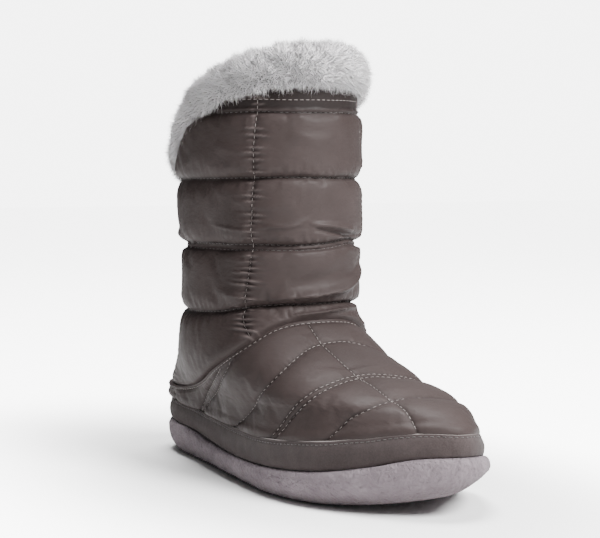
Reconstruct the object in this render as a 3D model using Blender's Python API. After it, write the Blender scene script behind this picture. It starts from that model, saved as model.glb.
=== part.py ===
"""Quilted slipper boot, right foot, as separate sub-parts. Metres, +Z up, toe towards -Y.

The boot stands on its sole at z = 0. +X is the inner (big toe) side, -X the outer side.
Every length below is in millimetres and is turned into metres when a mesh is made.
"""
import bpy
import numpy as np

MM = 0.001
LENGTH = 265.0          # outsole, heel to toe
COLUMNS = 60            # columns around every ring, column 0 at the middle of the heel
GAP = 0.3               # air left between neighbouring pieces
SIDE_SHIFT = 0.0        # moves the middle of the boot's box onto the frame's axes
FRONT_SHIFT = 132.5

RAND_INSET = 3.0        # suede band behind the edge of the sole
HEEL_INSET = 0.9        # the same round the heel, where band and sole are nearly flush
RAND_THICK = 2.0        # how far the band stands proud of the quilted foot piece
TOE_FALL = 3.0          # the sole's top is this much lower at the inner side of the toe
TOE_LEAN = 1.6          # how far the band leans back over the toe
FOOT_WALL = 6.0         # nylon, wadding and fleece of the foot piece
SHAFT_WALL = 6.5        # the same for the shaft
FOOT_LAP = 0.7          # the foot piece's top edge stands proud of the shaft
INSOLE_THICK = 4.5
BAFFLE_PUFF = 3.6       # bulge of a shaft baffle between two stitch rows
CORD_RADIUS = 1.6
AGLET_LENGTH = 24.0

# Sole outline at a share t of the length: mean half width before the round ends, centre line.
PLAN_T = [0.0, 0.06, 0.12, 0.20, 0.33, 0.45, 0.53, 0.61, 0.69, 0.76, 0.83, 0.88, 0.925, 0.962, 1.0]
PLAN_HALF = [62, 51.5, 46, 41, 38.2, 40, 43, 47, 51.2, 54.3, 56, 55.2, 54, 52, 50]
PLAN_MID = [0, 0, 0.3, 0, -3.5, -5.5, -5.5, -4.8, -2.5, 0, 2.6, 3.2, 3.8, 4.2, 4.5]

# Heights at a share of the length.
LEVEL_T = [0.0, 0.06, 0.20, 0.35, 0.48, 0.60, 0.70, 0.80, 0.88, 0.95, 1.0]
SOLE_TOP = [19, 18.6, 17.0, 14.6, 13.4, 14.2, 15.8, 19.0, 23.6, 28.8, 30.6]
SOLE_BASE = [3.0, 0, 0, 0.9, 0.9, 0, 0, 1.4, 4.4, 8.8, 11.5]
RAND_TOP = [30.5, 30.2, 29.4, 28.6, 28.2, 28.8, 30.8, 34.0, 37.8, 41.4, 42.4]

# Rings of the upper above the band. Back and front of each ring on the boot's middle line,
# half width outside and inside, squareness of its front, share of ellipse against sole outline.
RINGS = [
    # back p, back z, front p, front z, outer, inner, square, ellipse, middle
    (3.5, 37.0, 251.5, 46.5, 46.5, 41.5, 2.3, 0.08, -1.5),
    (5.5, 43.0, 242.0, 50.0, 45.5, 41.5, 2.5, 0.25, -1.5),
    (10.5, 49.0, 228.0, 52.5, 44.5, 41.5, 2.6, 0.48, -1.5),
    (15.5, 55.5, 208.0, 56.5, 43.5, 41.5, 2.7, 0.72, -1.5),
    (21.0, 63.0, 186.0, 63.0, 42.5, 41.0, 2.7, 0.90, -1.2),
    (27.0, 71.5, 165.0, 71.5, 41.5, 40.5, 2.55, 1.00, -0.8),
    (33.0, 81.0, 149.0, 81.0, 40.5, 40.0, 2.3, 1.00, -0.4),
    (38.5, 90.0, 142.0, 90.0, 40.0, 39.5, 2.15, 1.00, 0.0),
    (39.5, 107.0, 142.0, 107.0, 40.0, 39.5, 2.1, 1.00, 0.0),
    (38.5, 126.0, 142.5, 126.0, 40.5, 40.5, 2.05, 1.00, 0.0),
    (33.5, 161.0, 143.5, 161.0, 43.5, 43.5, 2.05, 1.00, 0.0),
    (32.0, 198.0, 144.0, 198.0, 44.5, 44.5, 2.05, 1.00, 0.0),
    (31.0, 240.0, 144.5, 240.0, 45.0, 45.0, 2.05, 1.00, 0.0),
]
SHAFT_ROWS = [90.0, 126.0, 161.0, 198.0]      # heights of the stitch rows round the shaft

# Seam between foot piece and shaft: height at a distance from the heel.
SEAM_P = [5, 20, 37, 55, 70, 95, 115, 132, 140, 150]
SEAM_Z = [39.5, 39.5, 40.5, 43, 46.5, 55, 64.5, 75, 84, 87.5]

# Top edge of the shaft's cloth, and height of the fur above it, at a distance from the heel.
RIM_P = [30, 45, 60, 72, 88, 110, 127, 145]
RIM_Z = [157, 160, 169, 180, 193, 202, 207, 210]
FUR_Z = [18, 18, 19, 20, 20.5, 21.5, 23.5, 26]


def along(xs, ys, x):
    """Smooth curve through a small table."""
    xs = np.asarray(xs, float)
    ys = np.asarray(ys, float)
    slope = np.gradient(ys, xs, axis=0)
    x = np.clip(x, xs[0], xs[-1])
    i = np.clip(np.searchsorted(xs, x, side="right") - 1, 0, len(xs) - 2)
    step = xs[i + 1] - xs[i]
    f = (x - xs[i]) / step
    return ((2 * f**3 - 3 * f**2 + 1) * ys[i] + (f**3 - 2 * f**2 + f) * step * slope[i]
            + (3 * f**2 - 2 * f**3) * ys[i + 1] + (f**3 - f**2) * step * slope[i + 1])


def turn(count):
    """Angles round a ring: 0 at the heel, a quarter turn at the inner side."""
    return np.linspace(0.0, 2.0 * np.pi, count, endpoint=False)


def sole_outline(angle, inset):
    """Outline of the sole moved inwards: distance from the heel, and side."""
    def raw(a):
        t = (1.0 - np.cos(a)) / 2.0
        side = along(PLAN_T, PLAN_MID, t) + along(PLAN_T, PLAN_HALF, t) * np.sin(a)
        return LENGTH * t, side
    p, s = raw(angle)
    p1, s1 = raw(angle + 0.01)
    p0, s0 = raw(angle - 0.01)
    size = np.hypot(p1 - p0, s1 - s0)
    return p + inset * (s1 - s0) / size, s - inset * (p1 - p0) / size


def sole_height(table, p):
    """Height from one of the tables along the sole at a distance from the heel."""
    return np.maximum(along(LEVEL_T, table, p / LENGTH), 0.0)


def smooth(x):
    x = np.clip(x, 0.0, 1.0)
    return x * x * (3.0 - 2.0 * x)


def toe_fall(p, s):
    """How much lower the sole's top lies on the inner side of the toe."""
    return TOE_FALL * np.clip((s + 20.0) / 65.0, 0.0, 1.0) * smooth((p - 165.0) / 50.0)


def foot_inset(angle):
    """Inset of the foot piece's outer face from the sole's edge, behind the suede band."""
    p, _ = sole_outline(angle, 0.0)
    return HEEL_INSET + (RAND_INSET - HEEL_INSET) * smooth(p / 70.0) + RAND_THICK + GAP


def upper_rings(angle):
    """Every ring of the upper's outer face, as an array rings x columns x (side, p, z)."""
    lean = TOE_LEAN * smooth(-np.cos(angle) * 2.0 - 1.0)
    foot = foot_inset(angle)
    rings = []
    for inset, share in ((foot, 0.0), (foot - 0.8 + lean * 0.4, 0.5), (foot + 0.3 + lean, 1.0)):
        p, s = sole_outline(angle, inset)
        low = sole_height(SOLE_TOP, p) - toe_fall(p, s) + GAP
        high = sole_height(RAND_TOP, p) - toe_fall(p, s) * 2.0
        rings.append(np.stack([s, p, low + (high - low) * share], 1))
    for back, z0, front, z1, outer, inner, square, ellipse, middle in RINGS:
        span = front - back
        p0, s0 = sole_outline(angle, 8.0 - 4.5 * smooth(np.cos(angle)))
        p0 = back + span * (p0 - 3.5) / (LENGTH - 11.5)
        power = np.where(np.cos(angle) < 0.0, 2.0 / square, 2.0 / 2.1)
        p1 = back + span * (1.0 - np.sign(np.cos(angle)) * np.abs(np.cos(angle)) ** power) / 2.0
        half = np.where(np.sin(angle) > 0.0, inner, outer)
        s1 = middle + half * np.sign(np.sin(angle)) * np.abs(np.sin(angle)) ** power
        p = p0 + (p1 - p0) * ellipse
        s = s0 + (s1 - s0) * ellipse
        rings.append(np.stack([s, p, z0 + (z1 - z0) * (p - back) / span], 1))
    return np.array(rings)


def upper_point(rings, level):
    """Outer face at a level (ring number, may be a fraction) for every column."""
    count = len(rings)
    slope = np.gradient(rings, axis=0)
    level = np.clip(level, 0.0, count - 1.0)
    i = np.clip(level.astype(int), 0, count - 2)
    f = (level - i)[:, None]
    cols = np.arange(rings.shape[1])
    return ((2 * f**3 - 3 * f**2 + 1) * rings[i, cols] + (f**3 - 2 * f**2 + f) * slope[i, cols]
            + (3 * f**2 - 2 * f**3) * rings[i + 1, cols] + (f**3 - f**2) * slope[i + 1, cols])


def level_where(rings, test):
    """Level of each column where test(point) changes from below to above zero."""
    low = np.full(rings.shape[1], 2.0)
    high = np.full(rings.shape[1], len(rings) - 1.0)
    for _ in range(40):
        middle = (low + high) / 2.0
        above = test(upper_point(rings, middle)) > 0.0
        high = np.where(above, middle, high)
        low = np.where(above, low, middle)
    return (low + high) / 2.0


def outward(rings, level):
    """Unit normal of the outer face for every column at a level."""
    here = upper_point(rings, level)
    up = upper_point(rings, level + 0.06) - upper_point(rings, level - 0.06)
    round_ = np.roll(here, -1, 0) - np.roll(here, 1, 0)
    normal = np.cross(round_, up)
    return normal / np.linalg.norm(normal, axis=1)[:, None]


def puff(z):
    """Bulge of the shaft's baffles at a height: nothing at a stitch row, full between two."""
    rows = np.array([52.0] + SHAFT_ROWS + [232.0])
    i = np.clip(np.searchsorted(rows, z) - 1, 0, len(rows) - 2)
    f = np.clip((z - rows[i]) / (rows[i + 1] - rows[i]), 0.0, 1.0)
    return BAFFLE_PUFF * np.sqrt(np.clip(1.0 - (2.0 * f - 1.0) ** 2, 0.0, 1.0))


def to_world(points):
    """(side, p, z) in millimetres to metres in the boot's frame."""
    points = np.asarray(points, float)
    x = points[..., 0] + SIDE_SHIFT
    y = FRONT_SHIFT - points[..., 1]
    return np.stack([x, y, points[..., 2]], -1) * MM


def make_object(name, verts, faces, colour, roughness):
    mesh = bpy.data.meshes.new(name)
    mesh.from_pydata([tuple(v) for v in to_world(verts)], [], faces)
    mesh.validate()
    mesh.update()
    item = bpy.data.objects.new(name, mesh)
    bpy.context.scene.collection.objects.link(item)
    item.data.materials.append(make_material(name, colour, roughness))
    return item


def make_material(name, colour, roughness):
    material = bpy.data.materials.new("mat_" + name)
    material.use_nodes = True
    shader = material.node_tree.nodes["Principled BSDF"]
    shader.inputs["Base Color"].default_value = (*colour, 1.0)
    shader.inputs["Roughness"].default_value = roughness
    return material


def tube_faces(rows, columns):
    """Quads of a closed strip of rings; the last ring joins the first."""
    faces = []
    for j in range(rows):
        k = (j + 1) % rows
        for i in range(columns):
            n = (i + 1) % columns
            faces.append((j * columns + i, k * columns + i, k * columns + n, j * columns + n))
    return faces


def make_sleeve(name, rings, colour, roughness):
    """A hollow piece from rings that run up its outer face and back down its inner face."""
    verts = np.concatenate(rings)
    return make_object(name, verts, tube_faces(len(rings), len(rings[0])), colour, roughness)


def make_slab(name, rings, colour, roughness):
    """A solid from rings stacked bottom to top, its two ends closed by strips across."""
    count = len(rings[0])
    verts = np.concatenate(rings)
    faces = []
    for j in range(len(rings) - 1):
        for i in range(count):
            n = (i + 1) % count
            a, b = j * count, (j + 1) * count
            faces.append((a + i, b + i, b + n, a + n))
    top = (len(rings) - 1) * count
    half = count // 2
    for i in range(half):
        left, right = (count - i) % count, i
        left1, right1 = count - i - 1, i + 1
        ring = [right, right1, left1, left]
        ring = [v for k, v in enumerate(ring) if v not in ring[:k]]
        faces.append(tuple(ring))
        faces.append(tuple(top + v for v in reversed(ring)))
    return make_object(name, verts, faces, colour, roughness)


def build_outsole():
    """Soft moulded sole: rounded edge, flat heel and ball, toe spring, slight arch."""
    angle = turn(COLUMNS)
    profile = [(9.0, 0.0), (5.0, 0.05), (2.2, 0.19), (0.6, 0.38), (0.0, 0.58),
               (0.5, 0.79), (2.0, 0.95), (4.4, 1.0), (14.0, 1.0)]
    rings = []
    for inset, share in profile:
        p, s = sole_outline(angle, inset)
        base = sole_height(SOLE_BASE, p)
        top = sole_height(SOLE_TOP, p) - toe_fall(p, s)
        rings.append(np.stack([s, p, base + (top - base) * share], 1))
    return make_slab("outsole", rings, (0.42, 0.38, 0.42), 0.75)


def build_insole():
    """Fleece footbed that fills the floor of the boot between the upper's walls."""
    angle = turn(COLUMNS)
    low = []
    for inset, lift in ((0.8, GAP), (0.0, GAP + 1.2), (0.0, INSOLE_THICK - 1.2), (1.2, INSOLE_THICK)):
        p, s = sole_outline(angle, foot_inset(angle) + FOOT_WALL + 1.0 + inset)
        low.append(np.stack([s, p, sole_height(SOLE_TOP, p) - toe_fall(p, s) + lift], 1))
    return make_slab("insole", low, (0.74, 0.68, 0.58), 0.95)


def seam_height(point):
    return point[:, 2] - along(SEAM_P, SEAM_Z, point[:, 1])


def build_foot(rings):
    """Quilted vamp and low quarter in one: hollow, open underneath and at its top edge."""
    seam = level_where(rings, seam_height)
    levels = [np.full(COLUMNS, v) for v in (0.0, 0.7, 1.4, 2.0)]
    steps = 9
    for k in range(1, steps + 1):
        levels.append(2.0 + (seam - 2.0) * k / steps)
    outer, inner = [], []
    for k, level in enumerate(levels):
        point = upper_point(rings, level)
        normal = outward(rings, level)
        if k < 4:
            normal[:, 2] = 0.0
            normal /= np.linalg.norm(normal, axis=1)[:, None]
        share = max(0.0, (k - 6) / (len(levels) - 7))
        outer.append(point + normal * FOOT_LAP * share)
        inner.append(point - normal * FOOT_WALL)
    return make_sleeve("foot_piece", outer + inner[::-1], (0.20, 0.17, 0.16), 0.5)


def build_rand(rings):
    """Suede band round the lower upper, standing proud of the foot piece."""
    levels = [0.0, 0.5, 1.0, 1.5, 2.0]
    inner, outer = [], []
    for k, value in enumerate(levels):
        level = np.full(COLUMNS, value)
        point = upper_point(rings, level)
        normal = outward(rings, level)
        normal[:, 2] = 0.0
        normal /= np.linalg.norm(normal, axis=1)[:, None]
        inner.append(point + normal * GAP)
        outer.append(point + normal * (GAP + (RAND_THICK if k < 4 else RAND_THICK - 0.5)))
    return make_sleeve("rand", outer + inner[::-1], (0.14, 0.12, 0.11), 0.9)


def shaft_levels(rings):
    """Levels of the shaft's rows for every column, from the foot seam to the cloth's top edge."""
    seam = level_where(rings, seam_height)
    start = level_where(rings, lambda q: q[:, 2] - along(SEAM_P, SEAM_Z, q[:, 1]) - GAP * 2.8)
    rim = level_where(rings, lambda q: q[:, 2] - along(RIM_P, RIM_Z, q[:, 1]))
    heights = []
    for low, high in zip(SHAFT_ROWS[:-1], SHAFT_ROWS[1:]):
        heights += [low + (high - low) * f for f in (0.0, 0.07, 0.25, 0.5, 0.75, 0.93)]
    heights += [198.0, 204.0]
    base = upper_point(rings, start)[:, 2]
    top = upper_point(rings, rim)[:, 2]
    first = np.maximum(heights[0], base + 2.0)
    rows = [base, base + (first - base) * 0.3, base + (first - base) * 0.65]
    rows += [np.maximum(h, first + 0.5 * k) for k, h in enumerate(heights)] + [top]
    rows = [np.minimum(z, top - 0.6 * (len(rows) - 1 - k)) for k, z in enumerate(rows)]
    levels = [start]
    for z in rows[1:-1]:
        levels.append(level_where(rings, lambda q, z=z: q[:, 2] - z))
    levels.append(rim)
    assert np.all(start > seam)
    return levels


def build_shaft(rings):
    """Quilted tube from the foot seam to the collar: hollow, in baffles."""
    levels = shaft_levels(rings)
    seam = level_where(rings, seam_height)
    outer, inner = [], []
    for k, level in enumerate(levels):
        point = upper_point(rings, level)
        normal = outward(rings, seam if k == 0 else level)
        if k == len(levels) - 1:
            normal[:, 2] = 0.0
            normal /= np.linalg.norm(normal, axis=1)[:, None]
        swell = puff(point[:, 2])
        swell *= 1.0 if 0 < k < len(levels) - 1 else 0.0
        outer.append(point + normal * swell[:, None])
        if k in (0, 1, 2) or k == len(levels) - 1 or k % 3 == 0:
            inner.append(point - normal * SHAFT_WALL)
    return make_sleeve("shaft", outer + inner[::-1], (0.20, 0.17, 0.16), 0.5)


def build_collar(rings):
    """Fur band on the shaft's top edge."""
    rim = level_where(rings, lambda q: q[:, 2] - along(RIM_P, RIM_Z, q[:, 1]))
    point = upper_point(rings, rim)
    normal = outward(rings, rim)
    normal[:, 2] = 0.0
    normal /= np.linalg.norm(normal, axis=1)[:, None]
    tall = along(RIM_P, FUR_Z, point[:, 1])
    section = [(4.6, 0.0), (7.4, 0.18), (8.0, 0.45), (6.0, 0.76), (1.0, 0.96), (-5.0, 1.0),
               (-10.0, 0.86), (-12.5, 0.55), (-12.0, 0.2), (-9.6, 0.0)]
    loops = []
    for out, share in section:
        loop = point + normal * out
        loop[:, 2] = point[:, 2] + GAP * 2.0 + tall * share
        loops.append(loop)
    return make_sleeve("fur_collar", loops, (0.80, 0.77, 0.76), 0.95)


def make_cord(name, points, radius, colour):
    curve = bpy.data.curves.new(name, "CURVE")
    curve.dimensions = "3D"
    curve.bevel_depth = radius * MM
    curve.bevel_resolution = 2
    curve.use_fill_caps = True
    spline = curve.splines.new("POLY")
    spline.points.add(len(points) - 1)
    for slot, place in zip(spline.points, to_world(points)):
        slot.co = (*place, 1.0)
    item = bpy.data.objects.new(name, curve)
    bpy.context.scene.collection.objects.link(item)
    item.data.materials.append(make_material(name, colour, 0.8))
    return item


def cord_line(side):
    """Line of one drawcord end: out under the fur at the back, then straight down."""
    heights = np.linspace(157.6, 101.0, 17)
    depth = 29.5 - 5.0 * smooth((152.0 - heights) / 11.0)
    return np.stack([np.full(len(heights), side), depth, heights], 1)


def build_drawcord():
    """Two ends of the braid that closes the collar, their half knot and their end sleeves."""
    brown = (0.05, 0.035, 0.03)
    for name, side in (("inner", 2.4), ("outer", -2.4)):
        line = cord_line(side)
        make_cord("drawcord_" + name, line, CORD_RADIUS, brown)
        end = line[-1]
        heights = end[2] - GAP - np.array([0.0, 2.0, AGLET_LENGTH - 3.0, AGLET_LENGTH])
        radii = np.array([1.5, 2.1, 1.6, 1.0])
        angle = turn(12)
        loops = []
        for z, radius in zip(heights[::-1], radii[::-1]):
            loops.append(np.stack([end[0] + radius * np.sin(angle), end[1] - radius * np.cos(angle),
                                   np.full(12, z)], 1))
        make_slab("aglet_" + name, loops, brown, 0.4)
    angle = np.linspace(-0.42 * np.pi, 1.42 * np.pi, 23)
    reach = 2 * CORD_RADIUS + GAP * 1.7
    side = np.cos(angle) * (reach + 2.4)
    depth = 24.5 - np.sin(angle) * reach
    loop = np.stack([side, depth, 136.0 + 0.9 * np.cos(angle)], 1)
    make_cord("drawcord_knot", loop, CORD_RADIUS, brown)


def main():
    for item in list(bpy.data.objects):
        bpy.data.objects.remove(item, do_unlink=True)
    rings = upper_rings(turn(COLUMNS))
    build_outsole()
    build_insole()
    build_foot(rings)
    build_rand(rings)
    build_shaft(rings)
    build_collar(rings)
    build_drawcord()


main()
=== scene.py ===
"""Looks of a quilted slipper boot for the right foot: nylon baffles, suede band, foam sole, fur.

Lengths are in millimetres and in the boot's own terms: side (plus is the inner side), p (distance
from the back of the heel) and z. They become metres in the frame when a mesh is made.
"""

import math

import bpy
import numpy as np
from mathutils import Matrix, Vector


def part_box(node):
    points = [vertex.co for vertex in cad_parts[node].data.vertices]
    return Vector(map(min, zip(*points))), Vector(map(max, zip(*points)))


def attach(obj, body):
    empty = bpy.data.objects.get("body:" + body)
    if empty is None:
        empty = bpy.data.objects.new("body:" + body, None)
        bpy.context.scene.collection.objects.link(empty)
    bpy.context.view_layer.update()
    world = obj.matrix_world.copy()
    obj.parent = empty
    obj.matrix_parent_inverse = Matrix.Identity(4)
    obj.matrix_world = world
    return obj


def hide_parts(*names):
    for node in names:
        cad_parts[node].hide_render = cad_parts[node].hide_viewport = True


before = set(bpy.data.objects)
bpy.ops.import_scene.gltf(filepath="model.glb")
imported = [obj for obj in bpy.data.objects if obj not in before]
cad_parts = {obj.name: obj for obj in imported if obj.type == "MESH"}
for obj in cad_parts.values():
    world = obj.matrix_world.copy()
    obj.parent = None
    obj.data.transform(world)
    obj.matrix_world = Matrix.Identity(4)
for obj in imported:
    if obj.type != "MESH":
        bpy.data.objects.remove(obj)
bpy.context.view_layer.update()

# ---------- sizes
SOLE_LOW, SOLE_HIGH = (np.array(corner) * 1000.0 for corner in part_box("outsole"))
LENGTH = SOLE_HIGH[1] - SOLE_LOW[1]
HEEL_Y = SOLE_HIGH[1]
GAP = 0.3
RAND_INSET = 3.0  # suede band behind the edge of the sole
HEEL_INSET = 0.9  # the same round the heel
RAND_THICK = 2.0  # the band stands this proud of the foot piece
TOE_FALL = 3.0  # the sole's top is this much lower at the inner side of the toe
TOE_LEAN = 1.6  # the band leans back over the toe
BAND_TOP = 2.0  # level of the band's top edge; a level is a number of a ring, see upper_rings
FOOT_START = 1.35  # level where the foot piece's cloth starts, behind the band
LINING_START = 0.15  # level where the lining starts, at the footbed
SHAFT_WALL = 6.5
SHAFT_RADIUS = 46.0  # turns degrees round the shaft into millimetres
SHAFT_INSIDE = 3.0  # the shaft's cloth closes this far behind the frame, under the lining
FOOT_INSIDE = 2.8  # the same for the foot piece
UNDER_SEAM = 5.0  # the shaft's cloth starts this far below the foot piece's top edge
INTO_FUR = 3.0  # shaft and lining end this far above the cloth's rim, inside the fur
FOOT_LAP = 0.7  # the foot piece laps over the shaft
INSOLE_THICK = 4.5
FOOTBED_INSET = 7.0  # footbed behind the foot piece's outer face
CORD_RADIUS = 1.6
CORD_SIDE = 2.4  # each hanging end is this far from the middle
CORD_TOP, CORD_END = 157.6, 101.0
CORD_P, CORD_SWING = 29.5, 5.0  # its distance from the heel at the top, and how far back it swings
KNOT_P, KNOT_Z = 24.5, 136.0
BRAID_STEP = 0.3  # length of one ring of the cord
BRAID_LAY = 5.0  # length in which a strand winds once round the cord
AGLET_LENGTH = 24.0
STITCH = 3.1  # length of one stitch with its gap
FINE_THREAD = 0.15  # radius of the thread in the nylon
THREAD_SHARE = 0.37  # half of a stitch's thread, as a share of its pitch
LINE_STEP = 0.8  # length between two points of a stitch line
HEM = 2.2  # stitched line below the foot piece's turned top edge
CASING_LINE = 6.5  # stitched line above the shaft's top row
BAR_PITCH = 3.2  # space between the crests that cross an upright
HAIR_WIDTH = 0.26
LOCKS, HAIRS = 17920, 20  # locks of the fur and hairs in each
FAR = 60.0  # stands for any distance at which a stitch row has no effect
LINE_BREAK = 5.0  # a wider space than this ends a stitch line
TUBE_END = 0.02  # a tube's end is this share of its width
OFF_AXIS = (0.3, 0.9, 0.1)  # a direction that no tube starts in

FOOT_COLUMNS, FOOT_ROWS = 720, 118
SHAFT_COLUMNS, SHAFT_ROWS_FINE = 380, 250
SHEET_ROWS = 116  # rows of the shaft's cloth while it is simulated
SHEET_ROWS_FOOT = 64  # the same for the foot piece
SHEET_SCALE = 0.01  # Blender units for a millimetre of cloth: ten times its size
PIN_STEPS = 20
CLOTH_FRAMES = 20
CLOTH = {
    "quality": 5, "mass": 0.25, "air_damping": 6.0, "tension_stiffness": 40.0, "compression_stiffness": 40.0,
    "shear_stiffness": 12.0, "vertex_group_mass": "pin", "pin_stiffness": 2.0, "use_pressure": True,
}

# The frame's own shape, as in the part's source. Sole outline at a share t of the length.
PLAN_T = [0.0, 0.06, 0.12, 0.20, 0.33, 0.45, 0.53, 0.61, 0.69, 0.76, 0.83, 0.88, 0.925, 0.962, 1.0]
PLAN_HALF = [62, 51.5, 46, 41, 38.2, 40, 43, 47, 51.2, 54.3, 56, 55.2, 54, 52, 50]
PLAN_MID = [0, 0, 0.3, 0, -3.5, -5.5, -5.5, -4.8, -2.5, 0, 2.6, 3.2, 3.8, 4.2, 4.5]
LEVEL_T = [0.0, 0.06, 0.20, 0.35, 0.48, 0.60, 0.70, 0.80, 0.88, 0.95, 1.0]
SOLE_TOP = [19, 18.6, 17.0, 14.6, 13.4, 14.2, 15.8, 19.0, 23.6, 28.8, 30.6]
SOLE_BASE = [3.0, 0, 0, 0.9, 0.9, 0, 0, 1.4, 4.4, 8.8, 11.5]
RAND_TOP = [30.5, 30.2, 29.4, 28.6, 28.2, 28.8, 30.8, 34.0, 37.8, 41.4, 42.4]
RINGS = [
    # back p, back z, front p, front z, outer, inner, square, ellipse, middle
    (3.5, 37.0, 251.5, 46.5, 46.5, 41.5, 2.3, 0.08, -1.5),
    (5.5, 43.0, 242.0, 50.0, 45.5, 41.5, 2.5, 0.25, -1.5),
    (10.5, 49.0, 228.0, 52.5, 44.5, 41.5, 2.6, 0.48, -1.5),
    (15.5, 55.5, 208.0, 56.5, 43.5, 41.5, 2.7, 0.72, -1.5),
    (21.0, 63.0, 186.0, 63.0, 42.5, 41.0, 2.7, 0.90, -1.2),
    (27.0, 71.5, 165.0, 71.5, 41.5, 40.5, 2.55, 1.00, -0.8),
    (33.0, 81.0, 149.0, 81.0, 40.5, 40.0, 2.3, 1.00, -0.4),
    (38.5, 90.0, 142.0, 90.0, 40.0, 39.5, 2.15, 1.00, 0.0),
    (39.5, 107.0, 142.0, 107.0, 40.0, 39.5, 2.1, 1.00, 0.0),
    (38.5, 126.0, 142.5, 126.0, 40.5, 40.5, 2.05, 1.00, 0.0),
    (33.5, 161.0, 143.5, 161.0, 43.5, 43.5, 2.05, 1.00, 0.0),
    (32.0, 198.0, 144.0, 198.0, 44.5, 44.5, 2.05, 1.00, 0.0),
    (31.0, 240.0, 144.5, 240.0, 45.0, 45.0, 2.05, 1.00, 0.0),
]
# Edges of the upper: distances from the heel, and the height at each.
SEAM = ([5, 20, 37, 55, 70, 95, 115, 132, 140, 150], [39.5, 39.5, 40.5, 43, 46.5, 55, 64.5, 75, 84, 87.5])
RIM = ([30, 45, 60, 72, 88, 110, 127, 145], [157, 160, 169, 180, 193, 202, 207, 210])
FUR_Z = [18, 18, 19, 20, 20.5, 21.5, 23.5, 26]

# Stitch rows of the foot piece: distance from the heel at each height, half the space between
# its two lines, if it has two, and how much farther forward it lies on the inner side.
FOOT_ROWS_TABLE = [
    ((28, 39), (27, 31), 0, 0),
    ((28, 32, 45, 58, 67, 75), (120, 127, 146, 160, 162, 158), 0, 0),
    ((28, 41, 54, 62, 64), (167, 178, 189, 190, 187), 1.6, 3),
    ((32, 38, 45, 49, 53), (206, 211, 216, 221, 223), 0, 4),
]
SIDE_ROW = ((62, 21), (67, 29), (77, 38.5), (100, 49.5), (115, 60), (124, 76))  # p, z
SIDE_ROW_HALF = 2.2
# Stitch rows round the shaft: height at the back, sides and front, lines in the row, and one bend
# with its height, place in degrees and half width.
SHAFT_ROWS = [
    # back, sides, front, lines, bend, degrees, half width
    (88.0, 88.6, 94.0, 1, -2.2, 300.0, 28.0),
    (125.0, 126.0, 125.6, 2, 2.4, 152.0, 20.0),
    (160.0, 160.2, 161.2, 1, 0.0, 0.0, 1.0),
    (197.0, 196.0, 195.6, 1, 0.0, 0.0, 1.0),
]
FOLDS = [
    # path of (degrees round the shaft, height), half width, height of the fold
    (((190, 136.6), (170, 135.4), (150, 132.4)), 1.4, 1.7),
    (((188, 133.6), (172, 132.4), (156, 130.6), (130, 130.0)), 1.2, -2.0),
    (((218, 96.6), (194, 98.6), (168, 101.6), (150, 106.0), (134, 113.0)), 2.6, 3.6),
    (((206, 104.5), (186, 107.0), (162, 112.0)), 3.4, -1.1),
    (((264, 136.4), (238, 134.0), (216, 135.4), (196, 136.6)), 0.7, 0.7),
    (((204, 86.5), (184, 88.0), (160, 90.0), (140, 89.0)), 1.6, 1.8),
    (((240, 150.0), (224, 146.0), (200, 147.5)), 2.6, 0.9),
    (((222, 138.0), (206, 135.5), (190, 139.5)), 1.6, 0.9),
    (((262, 101.0), (246, 98.5), (232, 101.0)), 2.8, 0.7),
    (((250, 179.0), (236, 175.5), (218, 177.0)), 3.0, 0.7),
    (((205, 184.0), (186, 181.0), (168, 183.5)), 3.2, 0.7),
    (((122, 103.0), (100, 97.0), (78, 95.0)), 3.4, 1.3),
    (((120, 98.5), (100, 92.8), (80, 91.5)), 1.3, -1.3),
    (((118, 133.0), (98, 130.5), (76, 132.0)), 2.2, 1.0),
    (((116, 130.0), (98, 128.0), (80, 129.0)), 1.0, -1.2),
    (((40, 98.0), (18, 94.0), (-8, 95.5)), 3.4, 1.2),
    (((336, 133.0), (318, 130.0), (296, 131.5)), 2.2, 1.0),
    (((300, 96.0), (322, 92.5), (345, 95.0)), 3.0, 1.1),
    (((60, 150.0), (44, 146.0), (22, 147.0)), 3.0, 0.8),
    (((100, 181.0), (84, 177.0), (66, 178.0)), 3.0, 0.8),
]
# Wide bulges of the lower shaft: degrees round it, half width, height.
BULGES = [(118.0, 38.0, 2.6), (302.0, 26.0, 1.6), (258.0, 15.0, -2.0)]
# Gathers beside the shaft's rows: cells round it, height, how far they reach, seed.
GATHERS = [(56, 0.12, 6.0, 3), (112, 0.18, 3.2, 9)]
# Layers of noise, see layered: the stuffing, the lining's pile, and the sole's wall in rows of its section.
LUMPS = [(0.35, 12, 22.0, 21), (0.15, 26, 10.0, 22)]
PILE = [(0.5, 150, 2.0, 31), (0.3, 300, 1.1, 32)]
PEBBLES = [(0.30, 230, 1.0 / 0.9, 71), (0.22, 120, 2.0, 73)]
# Stitched lines up the shaft: degrees round it, and how strong the crests across them are.
UPRIGHTS = [(46.0, 1.0), (133.0, 0.3), (227.0, 1.0), (314.0, 0.3)]
WANDER_Z = [84, 95, 108, 126, 142, 160, 200]
WANDER = [9.0, 7.0, 4.4, 2.4, 0.4, -1.0, -4.6]  # degrees that they lean at each height
LAP = 3.0  # strip between a lapped seam and its stitched line
CENTRE_SIDE = -9.5  # stitched line along the vamp

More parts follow.
